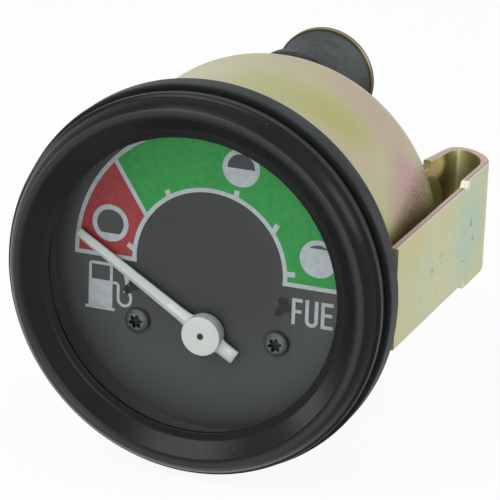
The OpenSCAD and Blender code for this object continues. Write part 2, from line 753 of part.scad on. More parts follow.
// Insulating disc in the rim, with a stem that guides the contact
module contact_insulator() color(amber_board) translate([0, 0, lamp_z]) difference() {
  stem_y = contact_y + 1.5 * contact_head_t;
  union() {
    rod(flare_d / 2 - rim_t - loose, rim_floor_y, rim_h - rim_t);
    rod(tube_in_r - loose, stem_y, rim_floor_y - stem_y + rim_t);
  }
  rod(contact_r + running, contact_y, rim_y + rim_h - contact_y + rim_t);
}

module centre_contact() color(brass) translate([0, 0, lamp_z]) {
  outer_y = rim_y + rim_h + blade_t;
  stem_y = contact_y + contact_head_t / 2;
  rod(contact_r, stem_y, outer_y + contact_rivet_t / 2 - stem_y);
  rod(contact_head_d / 2, contact_y, contact_head_t);
  rod(contact_head_d / 2, outer_y, contact_rivet_t);
}

module lamp_terminal() color(steel) translate([0, 0, lamp_z]) {
  foot_y = rim_y + rim_h;
  foot_down = blade_w / 2;
  difference() {
    translate([-blade_w / 2, foot_y, -foot_down]) cube([blade_w, blade_t, foot_down + lamp_foot_up]);
    rod(contact_r + running, foot_y - 1, blade_t + 2);
  }
  translate([-blade_w / 2, foot_y, -foot_down - blade_t]) cube([blade_w, blade_len, blade_t]);
}

module bulb_cap() color(brass) translate([0, 0, lamp_z]) {
  rod(cap_d / 2, cap_y, cap_len - 1.2);
  translate([0, cap_y + cap_len - 1.2, 0]) rotate([-90, 0, 0]) cylinder(r1 = cap_d / 2, r2 = 1.6, h = 0.8);
  rod(1.6, cap_y + cap_len - 0.6, 0.6);
}

module bulb_glass() color(clear_glass) translate([0, 0, lamp_z]) translate([0, cap_y, 0]) rotate([90, 0, 0])
  rotate_extrude() difference() {
    cup(bulb_d / 2, 0, bulb_len, bulb_d / 2 - 0.1);
    cup(bulb_d / 2 - 0.5, -1, bulb_len - 0.5, bulb_d / 2 - 0.6);
  }

case_shell();
bezel();
glass();
glass_seal();
spacer_ring();
dial_plate();
dial_screws();
inner_housing();
panel_gasket();
movement_base();
front_bearing();
rear_bearing();
bobbin_front();
bobbin_rear();
coil_a();
coil_b();
movement_can();
return_magnet();
circuit_board();
ballast_resistor();
terminal_insulators();
terminal_rivets();
terminal_blades();
clamp_stud();
pointer();
spindle();
rotor_magnet();
clamp_bracket();
flat_washer();
spring_washer();
clamp_nut();
holder_sleeve();
holder_shell();
contact_insulator();
centre_contact();
lamp_terminal();
bulb_cap();
bulb_glass();
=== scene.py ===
# Electric fuel gauge for a vehicle panel, dressed piece by piece in the order in which it is put together.
# Lengths are millimetres times MM. The case axis is Y, the glass faces -Y and Z is up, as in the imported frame.
import bmesh
import bpy
import math
from mathutils import Matrix, Vector


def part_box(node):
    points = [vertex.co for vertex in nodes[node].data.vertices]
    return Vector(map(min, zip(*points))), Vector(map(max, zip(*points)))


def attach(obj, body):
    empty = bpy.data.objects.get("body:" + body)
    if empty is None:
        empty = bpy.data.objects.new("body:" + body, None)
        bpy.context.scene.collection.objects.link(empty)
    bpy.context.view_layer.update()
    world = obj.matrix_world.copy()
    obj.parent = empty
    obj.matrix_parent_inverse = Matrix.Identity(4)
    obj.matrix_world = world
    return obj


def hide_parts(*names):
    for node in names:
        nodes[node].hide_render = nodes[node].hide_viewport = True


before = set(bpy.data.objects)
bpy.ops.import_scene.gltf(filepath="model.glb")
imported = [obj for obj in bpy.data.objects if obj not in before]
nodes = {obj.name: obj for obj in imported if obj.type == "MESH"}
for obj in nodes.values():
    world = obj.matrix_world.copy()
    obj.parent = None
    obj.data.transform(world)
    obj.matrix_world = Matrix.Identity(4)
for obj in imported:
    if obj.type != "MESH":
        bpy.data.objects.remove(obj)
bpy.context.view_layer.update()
MM = 0.001

# Camera and lamps: the gauge is seen from the front, from its right and from above, with a long lens.
# Four soft lamps light it, from the left front, the front, the left and the right.
lens_place = Vector((153.146, -394.500, 153.749)) * MM
lens_right = Vector((0.93290872, 0.3585165, 0.03387088))
lens_up = Vector((-0.14943382, 0.29983121, 0.94221589))
lens_ahead = Vector((-0.32764439, 0.88406287, -0.33328964))
lens_turn = Matrix((lens_right, lens_up, -lens_ahead)).transposed().to_4x4()
camera = bpy.data.objects.new("camera", bpy.data.cameras.new("camera"))
camera.matrix_world = Matrix.Translation(lens_place) @ lens_turn
camera.data.sensor_width = 36
camera.data.lens = 214.4
camera.data.clip_start = 0.01
bpy.context.collection.objects.link(camera)
bpy.context.scene.camera = camera
bpy.context.scene.view_settings.view_transform = "Standard"
LAMP_AIM = Vector((0, 10, 0)) * MM


def soft_lamp(name, place, size, watts):
    """A square lamp that faces the gauge, its place and size in metres"""
    lamp = bpy.data.objects.new(name, bpy.data.lights.new(name, "AREA"))
    lamp.data.shape = "SQUARE"
    lamp.data.size = size
    lamp.data.energy = watts
    lamp.location = Vector(place)
    lamp.rotation_euler = (LAMP_AIM - lamp.location).to_track_quat("-Z", "Y").to_euler()
    bpy.context.collection.objects.link(lamp)


soft_lamp("key_lamp", (-0.35, -0.60, 0.72), 0.6, 5.6)
soft_lamp("front_lamp", (0.15, -0.85, 0.10), 0.45, 2.8)
soft_lamp("left_lamp", (-0.85, -0.25, 0.10), 0.2, 0.9)
soft_lamp("side_lamp", (0.80, 0.10, 0.45), 0.4, 2.2)


# Table and walls: the table is white paper, and lenses and mirrors see it white too, but it still takes the
# gauge's soft shadow. The walls of the studio are white to the eye and a plain grey as a light.
class Shade:
    """One socket of a finish. A sum written with it adds the nodes that work the sum out."""

    def __init__(self, socket):
        self.socket = socket

    def node(self, kind, settings=None, inputs=None, output=0):
        tree = self.socket.id_data
        made = tree.nodes.new(kind)
        for name, value in (settings or {}).items():
            setattr(made, name, value)
        for name, value in (inputs or {}).items():
            if isinstance(value, Shade):
                tree.links.new(value.socket, made.inputs[name])
            else:
                made.inputs[name].default_value = value
        return Shade(made.outputs[output])

    def maths(self, operation, first, second):
        return self.node("ShaderNodeMath", {"operation": operation}, {0: first, 1: second})

    def __add__(self, other):
        return self.maths("ADD", self, other)

    def __mul__(self, other):
        return self.maths("MULTIPLY", self, other)

    def __sub__(self, other):
        return self.maths("SUBTRACT", self, other)

    def __rsub__(self, other):
        return self.maths("SUBTRACT", other, self)

    def __abs__(self):
        return self.maths("ABSOLUTE", self, 0.0)

    __radd__ = __add__
    __rmul__ = __mul__


def tint(red, green, blue):
    """A colour as it looks on screen, from 0 to 255, turned into amounts of light"""
    return (*[((c / 255 + 0.055) / 1.055) ** 2.4 if c > 10 else c / 3295 for c in (red, green, blue)], 1)


def new_finish(name):
    """An empty finish: the material, its shader, and the place on the piece in metres"""
    material = bpy.data.materials.new(name)
    material.use_nodes = True
    tree = material.node_tree
    return material, tree.nodes["Principled BSDF"], Shade(tree.nodes.new("ShaderNodeTexCoord").outputs["Object"])


def lay_on(skin, looks):
    """Sets or links the sockets of a shader"""
    for name, value in looks.items():
        if isinstance(value, Shade):
            skin.id_data.links.new(value.socket, skin.inputs[name])
        else:
            skin.inputs[name].default_value = value


def noise(place, scale, detail=2.0, seed=0.0, bend=0.0):
    """Cloudy noise from 0 to 1, with this many waves in a metre"""
    return place.node("ShaderNodeTexNoise", {"noise_dimensions": "4D"},
                      {"Vector": place, "W": seed, "Scale": scale, "Detail": detail, "Distortion": bend})


def between(value, low, high):
    """0 below low, 1 above high, with a soft step from one to the other. Low may be the larger of the two."""
    return value.node("ShaderNodeMapRange", {"interpolation_type": "SMOOTHSTEP"},
                      {"Value": value, "From Min": low, "From Max": high})


def mixed(mask, under, over):
    """One colour where the mask is 0 and the other where it is 1"""
    return mask.node("ShaderNodeMix", {"data_type": "RGBA"}, {0: mask, 6: under, 7: over}, output=2)


def seen_share(start):
    """1 for a ray from the eye, off a mirror or through glass, and 0 for one that only carries light"""
    eye = start.node("ShaderNodeLightPath")
    kinds = eye.socket.node.outputs
    seen = eye + Shade(kinds["Is Glossy Ray"]) + Shade(kinds["Is Transmission Ray"])
    return seen.maths("MINIMUM", seen, 1.0)


TABLE_HALF, TABLE_Z, TABLE_WHITE, WALL_LIGHT = 4.0, -31.0, 0.92, 0.45
table_mesh = bpy.data.meshes.new("table_top")
table_corners = [(x * TABLE_HALF, y * TABLE_HALF, 0) for x, y in ((-1, -1), (1, -1), (1, 1), (-1, 1))]
table_mesh.from_pydata(table_corners, [], [(0, 1, 2, 3)])
table = bpy.data.objects.new("table_top", table_mesh)
table.location.z = TABLE_Z * MM
bpy.context.collection.objects.link(table)

table_finish, table_skin, table_place = new_finish("table_paper")
paper_tint = mixed(between(noise(table_place, 9), 0.3, 0.7), tint(238, 238, 238), tint(243, 243, 243))
lay_on(table_skin, {"Base Color": paper_tint, "Roughness": 0.9})
paper = Shade(table_skin.outputs[0])
white = paper.node("ShaderNodeEmission", {}, {"Color": (1, 1, 1, 1), "Strength": 1.0})
shown = paper.node("ShaderNodeMixShader", {}, {0: seen_share(paper) * TABLE_WHITE, 1: paper, 2: white})
table_finish.node_tree.links.new(shown.socket, table_finish.node_tree.nodes["Material Output"].inputs["Surface"])
table.data.materials.append(table_finish)

world = bpy.data.worlds.new("studio")
world.use_nodes = True
bpy.context.scene.world = world
walls = world.node_tree.nodes["Background"]
wall_strength = seen_share(Shade(walls.outputs[0])) * (1 - WALL_LIGHT) + WALL_LIGHT
lay_on(walls, {"Color": (0.97, 0.985, 1, 1), "Strength": wall_strength})


# Case: a cup deep drawn from thin steel, then zinc plated and passivated yellow, which leaves olive, pink
# and pale clouds under a satin shine. Its mouth is a flange that the bezel is rolled over.
def stretched(place, x, y, z):
    """The place with its axes scaled, which draws noise out into streaks"""
    return place.node("ShaderNodeVectorMath", {"operation": "MULTIPLY"}, {0: place, 1: (x, y, z)})


def from_spot(place, at):
    """How far the surface is from a spot given in millimetres"""
    return place.node("ShaderNodeVectorMath", {"operation": "DISTANCE"}, {0: place, 1: Vector(at) * MM}, 1)


def part_of(place, axis, output="Object"):
    """One coordinate of the place, or of the way the surface faces"""
    return place.node("ShaderNodeSeparateXYZ", {}, {0: Shade(place.socket.node.outputs[output])}, axis)


def relief(height, depth, strength):
    """A bump of this depth in millimetres"""
    return height.node("ShaderNodeBump", {}, {"Strength": strength, "Distance": depth * MM, "Height": height})


def zinc(name, seed, olive, cream, blush, sage, stains_and_shading=(), touches=None):
    """Passivated zinc: clouds of four colours, discoloured patches and painted light and shade at known places, a fine
    grain and a few dark scratches
    """
    material, skin, place = new_finish(name)
    clouds = noise(place, 42, 2.0, seed, 0.6)
    drift = noise(place, 26, 1.0, seed + 3, 0.3)
    colour = mixed(between(clouds, 0.38, 0.56), olive, cream)
    colour = mixed(between(drift, 0.50, 0.66), colour, blush)
    colour = mixed(between(noise(place, 33, 2.0, seed + 7), 0.56, 0.70), colour, sage)
    # These patches hold real marks as well as painted light and shade
    for at, reach, strength, patch_tint in stains_and_shading:
        gap = from_spot(place, at) + (clouds - 0.5) * (0.9 * reach * MM)
        colour = mixed(between(gap, reach * MM, reach * 0.25 * MM) * strength, colour, patch_tint)
    grain = noise(place, 2600, 2.0, seed)
    colour = mixed(grain * 0.22, colour, tint(120, 112, 78))
    scratch = between(noise(stretched(place, 1, 0.12, 1), 900, 3.0, seed + 1), 0.70, 0.76)
    scratched = between(noise(place, 70, 1.0, seed + 5), 0.56, 0.66)
    colour = mixed(scratch * scratched * 0.4, colour, tint(84, 80, 60))
    height = grain + 0.6 * noise(place, 420, 2.0, seed)
    if touches:
        colour, height = touches(place, colour, height)
    lay_on(skin, {"Base Color": colour, "Metallic": 0.72,
                  "Roughness": 0.33 + 0.12 * clouds + 0.10 * grain, "Normal": relief(height, 0.02, 0.35)})
    return material


def coat(node, material):
    """Gives a piece that comes from the solids its finish"""
    for slot in nodes[node].material_slots:
        slot.material = material


# Each entry is its middle, how far it reaches, its strength and its colour; some are real marks, some painted shade
# and highlights
CASE_STAINS_AND_SHADE = (((6, 16, 25), 34, 1.0, tint(188, 184, 148)), ((5, 13, 26.8), 12, 0.8, tint(180, 180, 122)),
               ((13, 15, 24), 11, 0.75, tint(176, 176, 108)), ((16.5, 14.5, 21.7), 7.5, 0.6, tint(174, 174, 106)),
               ((3, 31, 25), 9, 0.8, tint(186, 168, 152)), ((12, 28, 22), 10, 0.8, tint(186, 166, 152)),
               ((20, 25, 18.5), 9, 0.7, tint(186, 164, 150)), ((-8, 16, 26.0), 9, 0.7, tint(190, 192, 162)),
               ((24.5, 22, 11.5), 7.5, 0.8, tint(184, 148, 150)), ((25.3, 15, 10.0), 6, 0.7, tint(184, 152, 146)),
               # The brown patch by the right leg is painted shade and dark reflection of the leg
               ((27, 20, 1.0), 12, 0.8, tint(124, 100, 66)))
# How the painted shade and dirt beside the legs lean, where they fade out and where they are full
SHADE_GRIME_LEAN, SHADE_GRIME_EDGE, SHADE_GRIME_FULL = 0.28, 6.4, 2.6


def case_shade_and_grime(place, colour, height):
    """Painted shade and reflection of the legs, with dirt, between the case and the strap's legs, thinning out into
    specks
    """
    above = abs(part_of(place, 2)) - SHADE_GRIME_LEAN * part_of(place, 1)
    speck = noise(place, 3600, 3.0, 6.0)
    # Brown specks near the legs paint their shade and dark reflection on the case, along with real dirt
    shade_and_grime = between(above + 6 * MM * (speck - 0.5), SHADE_GRIME_EDGE * MM, SHADE_GRIME_FULL * MM)
    shade_and_grime = shade_and_grime * between(abs(part_of(place, 0)), 20 * MM, 24 * MM)
    return mixed(shade_and_grime * between(speck, 0.72, 0.42) * 0.8, colour, tint(86, 68, 44)), height


case_zinc = zinc("case_zinc", 1.0, tint(178, 176, 112), tint(188, 186, 142), tint(184, 164, 150), tint(182, 188, 150),
                 CASE_STAINS_AND_SHADE, case_shade_and_grime)
coat("case_shell", case_zinc)


# Housing inside the case: a moulded white ring that carries the dial, sealed in and out of sight.
# The same moulding plastic makes the base of the movement and the two halves of the coil former.
def moulded(name, colour, shade, roughness=0.42, seed=0.0):
    """Moulded plastic: a faint mottle, flow marks and a fine skin"""
    material, skin, place = new_finish(name)
    mottle = noise(place, 140, 3.0, seed, 0.4)
    fine = noise(place, 3500, 2.0, seed)
    lay_on(skin, {"Base Color": mixed(between(mottle, 0.35, 0.7), colour, shade),
                  "Roughness": roughness - 0.06 + 0.12 * mottle,
                  "Normal": relief(fine + mottle, 0.01, 0.3)})
    return material


white_moulding = moulded("white_moulding", tint(226, 226, 218), tint(212, 211, 200))
for node in ("inner_housing", "movement_base", "bobbin_front", "bobbin_rear"):
    coat(node, white_moulding)


# Circuit board and ballast resistor: brown laminated paper board with a glazed ceramic block in front of it.
# The board is held by the two terminal rivets.
def laminate(name, colour, fibre):
    """Laminated paper: short fibres and a darker mottle under a thin varnish"""
    material, skin, place = new_finish(name)
    fibres = noise(stretched(place, 1, 1, 0.2), 1600, 3.0)
    lay_on(skin, {"Base Color": mixed(between(fibres, 0.4, 0.7) * 0.6 + 0.2 * noise(place, 160), colour, fibre),
                  "Roughness": 0.38 + 0.2 * fibres,
                  "Normal": relief(fibres, 0.01, 0.4)})
    return material


board_laminate = laminate("board_laminate", tint(150, 108, 62), tint(118, 80, 44))
coat("circuit_board", board_laminate)
coat("ballast_resistor", moulded("glazed_ceramic", tint(226, 222, 208), tint(206, 200, 184), 0.22, 4.0))


# Movement: two crossed windings of enamelled copper wire round the former, a ferrite disc on the spindle,
# brass bushes, and a tinned steel can that screens it. Nothing of it shows from outside.
def wound_copper(name, along):
    """Wire laid side by side: fine ribs across the winding, with a lacquer shine"""
    material, skin, place = new_finish(name)
    turns = place.node("ShaderNodeTexWave", {"bands_direction": along, "wave_profile": "SIN"},
                       {"Vector": place, "Scale": 620, "Distortion": 0.4, "Detail": 1.0}, 1)
    lay_on(skin, {"Base Color": mixed(turns, tint(96, 44, 24), tint(196, 112, 62)), "Metallic": 0.85,
                  "Roughness": 0.28 + 0.2 * noise(place, 300), "Normal": relief(turns, 0.05, 0.8)})
    return material


def plain_metal(name, colour, dull, metallic=0.95, roughness=0.3, seed=0.0, touches=None):
    """Turned or rolled metal: fine lines, dull spots and handling marks"""
    material, skin, place = new_finish(name)
    lines = noise(stretched(place, 1, 0.06, 1), 2400, 2.0, seed)
    spots = between(noise(place, 210, 3.0, seed + 2), 0.45, 0.75)
    worn = mixed(spots, colour, dull)
    if touches:
        worn = touches(place, worn)
    lay_on(skin, {"Base Color": worn, "Metallic": metallic,
                  "Roughness": roughness + 0.12 * lines + 0.12 * spots,
                  "Normal": relief(lines + spots, 0.01, 0.4)})
    return material


coat("coil_a", wound_copper("copper_winding_a", "X"))
coat("coil_b", wound_copper("copper_winding_b", "Z"))
brass = plain_metal("turned_brass", tint(206, 172, 100), tint(160, 126, 70))
tinned = plain_metal("tinned_steel", tint(186, 188, 188), tint(150, 152, 150), 0.95, 0.28, 2.0)
ferrite = plain_metal("ground_ferrite", tint(58, 58, 60), tint(42, 42, 43), 0.3, 0.5, 3.0)
for node in ("front_bearing", "rear_bearing", "terminal_rivets", "centre_contact", "bulb_cap"):
    coat(node, brass)
for node in ("movement_can", "terminal_blades", "lamp_terminal", "spring_washer"):
    coat(node, tinned)
for node in ("rotor_magnet", "return_magnet"):
    coat(node, ferrite)

# Dial: a thin plate sprayed matt dark grey and screen printed. The scale is a band from red, for nearly empty,
# to green, edged with pale lines; level symbols, a pump symbol and the word FUEL are printed with it.
dial_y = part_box("dial_plate")[0][1] / MM
# Dark patches on the dial: the middle and reach of each, in millimetres
DARK_PATCHES = ((11.3, -4.7, 0.9), (12.4, -3.3, 1.3), (-13.1, -5.1, 0.9), (-12.1, -4.0, 1.2))
SHARP = 32  # an edge that turns by more degrees than this is left sharp


def matt_grey(name, colour, shade, edge_sheen=None):
    """Matt sprayed plate: a very fine grain and a faint cloud. A dial also has dark patches and the glass's sheen
    painted on, paler towards its edge.
    """
    material, skin, place = new_finish(name)
    fine = noise(place, 5200, 2.0)
    cloud = noise(place, 60, 2.0, 5.0)
    sprayed = mixed(fine * 0.6 + 0.4 * cloud, colour, shade)
    if edge_sheen:
        # The dial is painted paler towards its edge, as the sheen of the glass in front of it
        outwards = from_spot(place, (0, dial_y, 3)) + 6 * MM * (cloud - 0.5)
        sprayed = mixed(between(outwards, 8 * MM, 23 * MM) * 0.65, sprayed, edge_sheen)
        for x, z, reach in DARK_PATCHES:
            gap = from_spot(place, (x, dial_y, z)) + 2.2 * MM * (noise(place, 650, 3.0, 7.0) - 0.5)
            sprayed = mixed(between(gap, reach * MM, 0.6 * reach * MM), sprayed, tint(26, 28, 28))
    lay_on(skin, {"Base Color": sprayed, "Roughness": 0.5 + 0.15 * fine, "Normal": relief(fine, 0.01, 0.35)})
    return material


def ink(name, colour, shade, roughness=0.45):
    """Screen ink: flat, with a weak mottle where it lies thinner"""
    material, skin, place = new_finish(name)
    thin = noise(place, 900, 3.0)
    lay_on(skin, {"Base Color": mixed(between(thin, 0.35, 0.7), colour, shade), "Roughness": roughness + 0.1 * thin,
                  "Normal": relief(noise(place, 5200, 2.0), 0.01, 0.25)})
    return material


def polar(centre, radius, angle):
    """A point on the dial, angles counted from the right towards the top"""
    return (centre[0] + radius * math.cos(math.radians(angle)), centre[1] + radius * math.sin(math.radians(angle)))


def link_piece(name, shape, material, body):
    """Makes an object from a finished bmesh and lets it ride on its body"""
    bmesh.ops.recalc_face_normals(shape, faces=shape.faces)
    mesh = bpy.data.meshes.new(name)
    shape.to_mesh(mesh)
    shape.free()
    mesh.polygons.foreach_set("use_smooth", [True] * len(mesh.polygons))
    mesh.set_sharp_from_angle(angle=math.radians(SHARP))
    mesh.materials.append(material)
    piece = bpy.data.objects.new(name, mesh)
    bpy.context.collection.objects.link(piece)
    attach(piece, body)
    return piece


def print_on(name, patches, lift, material):
    """Ink films on the dial, each patch a row of rungs from one edge to the other, this far above the plate"""
    shape = bmesh.new()
    for patch in patches:
        front = [[shape.verts.new((x * MM, (dial_y - lift) * MM, z * MM)) for x, z in rung] for rung in patch]
        back = [[shape.verts.new((x * MM, dial_y * MM, z * MM)) for x, z in rung] for rung in patch]
        closed = patch[0] == patch[-1]
        if closed:
            front[-1], back[-1] = front[0], back[0]
        for i in range(len(patch) - 1):
            shape.faces.new((front[i][0], front[i][1], front[i + 1][1], front[i + 1][0]))
            shape.faces.new((back[i][0], back[i + 1][0], back[i + 1][1], back[i][1]))
            for side in (0, 1):
                shape.faces.new((front[i][side], front[i + 1][side], back[i + 1][side], back[i][side]))
        if not closed:
            for end in (0, -1):
                shape.faces.new((front[end][0], front[end][1], back[end][1], back[end][0]))
    bmesh.ops.delete(shape, geom=[v for v in shape.verts if not v.link_faces], context="VERTS")
    return link_piece(name, shape, material, "case")


def arc_patch(centre, inner, outer, start, stop, steps=96):
    """A band between two radii. Start and stop are the angles of its inner and outer corner."""
    rungs = []
    for i in range(steps + 1):
        t = i / steps
        low = start[0] + (stop[0] - start[0]) * t
        high = start[1] + (stop[1] - start[1]) * t
        rungs.append((polar(centre, inner, low), polar(centre, outer, high)))
    return rungs


def bar_patch(first, last, width):
    """A straight line of this width"""
    along = Vector(last) - Vector(first)
    across = Vector((-along.y, along.x)).normalized() * width / 2
    return [(tuple(Vector(p) + across), tuple(Vector(p) - across)) for p in (first, last)]


def line_patch(points, width):
    """A bent line of this width"""
    rungs = []
    for i, point in enumerate(points):
        ahead = Vector(points[min(i + 1, len(points) - 1)]) - Vector(points[max(i - 1, 0)])
        across = Vector((-ahead.y, ahead.x)).normalized() * width / 2
        rungs.append((tuple(Vector(point) + across), tuple(Vector(point) - across)))
    return rungs


def chord_patch(centre, radius, low, high, steps=24):
    """The part of a disc between two heights above its centre"""
    rungs = []
    for i in range(steps + 1):
        height = low + (high - low) * i / steps
        half = math.sqrt(max(radius ** 2 - height ** 2, 0.0001))
        rungs.append(((centre[0] - half, centre[1] + height), (centre[0] + half, centre[1] + height)))
    return rungs


# The third colour is the painted sheen of the glass, towards the dial's edge
dial_grey = matt_grey("dial_grey", tint(53, 55, 54), tint(64, 66, 65), tint(88, 91, 90))
coat("dial_plate", dial_grey)
pale_ink = ink("pale_ink", tint(196, 201, 206), tint(182, 187, 193))
green_ink = ink("green_ink", tint(38, 148, 66), tint(50, 160, 76))
red_ink = ink("red_ink", tint(158, 50, 58), tint(172, 62, 66))
COLOUR_LIFT, LINE_LIFT, HOSE_LIFT, EDGE_LIFT, TICK_LIFT, LEVEL_LIFT, HOLLOW_LIFT = (
    0.020, 0.030, 0.034, 0.036, 0.042, 0.048, 0.054)

# The scale: two coloured bands between two arcs, closed by short bars, with five ticks
SCALE = (0, 0.69)
INNER_R, OUTER_R, LINE, BASE_Z, UNDER, TICK_W = 11.95, 22.19, 0.68, 0.10, 0.2, 0.82
RIGHT_END, LEFT_END = (-2.8, -1.5), (182.8, 181.5)
DIVIDER = ((-10.54, 7.59), (-15.58, 15.38))
DIVIDER_BAR = ((-10.3, 7.2), (-15.75, 15.65))
TICKS = (((-13.40, 2.41), (-12.25, 1.62)), ((-7.18, 12.05), (-6.78, 10.85)), ((4.12, 13.60), (3.98, 12.35)),
         ((10.75, 9.22), (10.15, 8.05)), ((13.85, 1.75), (12.40, 1.67)))
divider_angles = [math.degrees(math.atan2(z - SCALE[1], x)) for x, z in DIVIDER]
print_on("scale_green", [arc_patch(SCALE, INNER_R + UNDER, OUTER_R - UNDER, divider_angles, RIGHT_END)], COLOUR_LIFT,
         green_ink)
print_on("scale_red", [arc_patch(SCALE, INNER_R + UNDER, OUTER_R - UNDER, LEFT_END, divider_angles)], COLOUR_LIFT,
         red_ink)
print_on("scale_arcs", [arc_patch(SCALE, INNER_R, INNER_R + LINE, LEFT_END[:1] * 2, RIGHT_END[:1] * 2),
                        arc_patch(SCALE, OUTER_R - LINE, OUTER_R, LEFT_END[1:] * 2, RIGHT_END[1:] * 2)],
         LINE_LIFT, pale_ink)
print_on("scale_edges", [bar_patch((-OUTER_R - 0.01, BASE_Z), (-INNER_R + 0.04, BASE_Z), LINE),
                         bar_patch((INNER_R - 0.04, BASE_Z), (OUTER_R + 0.01, BASE_Z), LINE),
                         bar_patch(*DIVIDER_BAR, LINE)], EDGE_LIFT, pale_ink)
print_on("scale_ticks", [bar_patch(tip, root, TICK_W) for tip, root in TICKS], TICK_LIFT, pale_ink)

# Three level symbols: pale discs, each with a dark hollow above the height that the fuel stands at
LEVELS = ((-16.35, 5.34), (4.66, 17.20), (17.45, 4.82))
FUEL_HEIGHTS = (-1.62, -0.08, 1.62)
LEVEL_R, HOLLOW_R = 2.98, 2.2
hollows = [chord_patch(at, HOLLOW_R, low, HOLLOW_R - 0.001) for at, low in zip(LEVELS, FUEL_HEIGHTS)]
print_on("level_symbols", [chord_patch(at, LEVEL_R, -LEVEL_R, LEVEL_R, 40) for at in LEVELS], LEVEL_LIFT, pale_ink)
print_on("level_hollows", hollows, HOLLOW_LIFT, dial_grey)

# Pump symbol under the left end of the scale: a frame, a filled body, a foot, and the hose with its nozzle
PUMP_LINE = 0.45
pump_frame = [(-19.57, -4.2), (-19.57, -1.75), (-19.5, -1.5), (-19.25, -1.4), (-16.35, -1.4), (-16.12, -1.5),
              (-16.05, -1.75), (-16.05, -4.2)]
pump = [line_patch(pump_frame, PUMP_LINE), bar_patch((-19.795, -6.3), (-15.825, -6.3), 4.42),
        bar_patch((-20.3, -8.68), (-15.38, -8.68), 0.46)]
hose = [(-15.9, -4.27), (-15.25, -4.27), (-15.0, -4.36), (-14.88, -4.62), (-14.85, -6.7)]
hose += [polar((-13.80, -6.71), 1.05, a) for a in range(195, 361, 15)]
hose += [(-12.76, -6.2), (-12.93, -5.62)]
nozzle = [((-14.6, -1.6), (-13.6, -2.2)), ((-13.95, -2.7), (-13.05, -3.1)), ((-13.66, -4.35), (-13.15, -3.9))]
print_on("pump_symbol", pump, LINE_LIFT, pale_ink)
print_on("pump_hose", [line_patch(hose, PUMP_LINE), chord_patch((-13.88, -5.51), 0.13, -0.13, 0.13, 10)], HOSE_LIFT,
         pale_ink)
print_on("pump_nozzle", [nozzle], HOSE_LIFT, pale_ink)

# The word under the right end of the scale
STROKE, TOP, FOOT, MIDDLE = 0.54, -1.93, -6.12, -4.0
U_LEFT, U_RIGHT, U_Z = 15.98, 17.48, -5.17
F_LEFT, E_LEFT, L_LEFT = 13.56, 18.24, 20.7


def letter_bars(left, width, heights):
    """An upright and its bars, each bar given by its height and its share of the width"""
    bars = [bar_patch((left + STROKE / 2, TOP), (left + STROKE / 2, FOOT), STROKE)]
    return bars + [bar_patch((left + STROKE, z), (left + width * share, z), STROKE) for z, share in heights]


bowl = [polar(((U_LEFT + U_RIGHT) / 2, U_Z), 0.75, a) for a in range(195, 360, 15)]
word = letter_bars(F_LEFT, 1.66, ((TOP - STROKE / 2, 1), (MIDDLE, 0.93)))
word.append(line_patch([(U_LEFT, TOP), (U_LEFT, U_Z)] + bowl + [(U_RIGHT, U_Z), (U_RIGHT, TOP)], STROKE + 0.03))
word += letter_bars(E_LEFT, 1.92, ((TOP - STROKE / 2, 1), (MIDDLE + 0.08, 0.92), (FOOT + STROKE / 2, 1)))
word += letter_bars(L_LEFT, 1.6, ((FOOT + STROKE / 2, 1),))
print_on("word_fuel", word, LINE_LIFT, pale_ink)


# Dial screws: two blackened pan heads with a six-lobe recess. They hold the dial on the two posts of the
# movement's base. The walls of the recess are painted darker as shade, and its mouth lighter as a highlight.
def revolve(outline, x=0.0, z=0.0, turns=180):
    """A closed outline of (radius, depth) turned about an axis along Y"""
    shape = bmesh.new()
    rings = []
    for radius, depth in outline:
        if radius < 1e-6:
            rings.append([shape.verts.new((x * MM, depth * MM, z * MM))] * turns)
            continue
        spots = [polar((x, z), radius, 360 * k / turns) for k in range(turns)]
        rings.append([shape.verts.new((px * MM, depth * MM, pz * MM)) for px, pz in spots])
    for one, two in zip(rings, rings[1:] + rings[:1]):
        for k in range(turns):
            corners = list(dict.fromkeys((one[k], one[(k + 1) % turns], two[(k + 1) % turns], two[k])))
            if len(corners) > 2:
                shape.faces.new(corners)
    return shape


def eased(outline, steps=5):
    """Rounds each corner of a closed outline of (radius, depth, rounding)"""
    smooth = []
    for i, (x, y, ease) in enumerate(outline):
        here = Vector((x, y))
        before, after = Vector(outline[i - 1][:2]) - here, Vector(outline[(i + 1) % len(outline)][:2]) - here
        if not ease:
            smooth.append(here)
            continue
        start = here + before.normalized() * min(ease, before.length * 0.48)
        end = here + after.normalized() * min(ease, after.length * 0.48)
        for k in range(steps + 1):
            t = k / steps
            smooth.append(start.lerp(here, t).lerp(here.lerp(end, t), t))
    return smooth


def loft(sections):
    """A solid skin through sections of equally many points, given in metres"""
    shape = bmesh.new()
    rings = [[shape.verts.new(point) for point in section] for section in sections]
    for one, two in zip(rings, rings[1:]):
        for k in range(len(one)):
            shape.faces.new((one[k], one[(k + 1) % len(one)], two[(k + 1) % len(one)], two[k]))
    shape.faces.new(rings[0])
    shape.faces.new(rings[-1])
    return shape


def carve(piece, tools, operation):
    """Cuts tools from a piece or joins them to it, and leaves one clean mesh"""
    for tool in tools:
        bmesh.ops.recalc_face_normals(tool, faces=tool.faces)
        mesh = bpy.data.meshes.new("tool")
        tool.to_mesh(mesh)
        tool.free()
        other = bpy.data.objects.new("tool", mesh)
        bpy.context.collection.objects.link(other)
        step = piece.modifiers.new("carve", "BOOLEAN")
        step.operation = operation
        step.solver = "EXACT"
        step.object = other
        solid = bpy.data.meshes.new_from_object(piece.evaluated_get(bpy.context.evaluated_depsgraph_get()))
        piece.modifiers.clear()
        piece.data = solid
        bpy.data.objects.remove(other)
    piece.data.polygons.foreach_set("use_smooth", [True] * len(piece.data.polygons))
    piece.data.set_sharp_from_angle(angle=math.radians(SHARP))


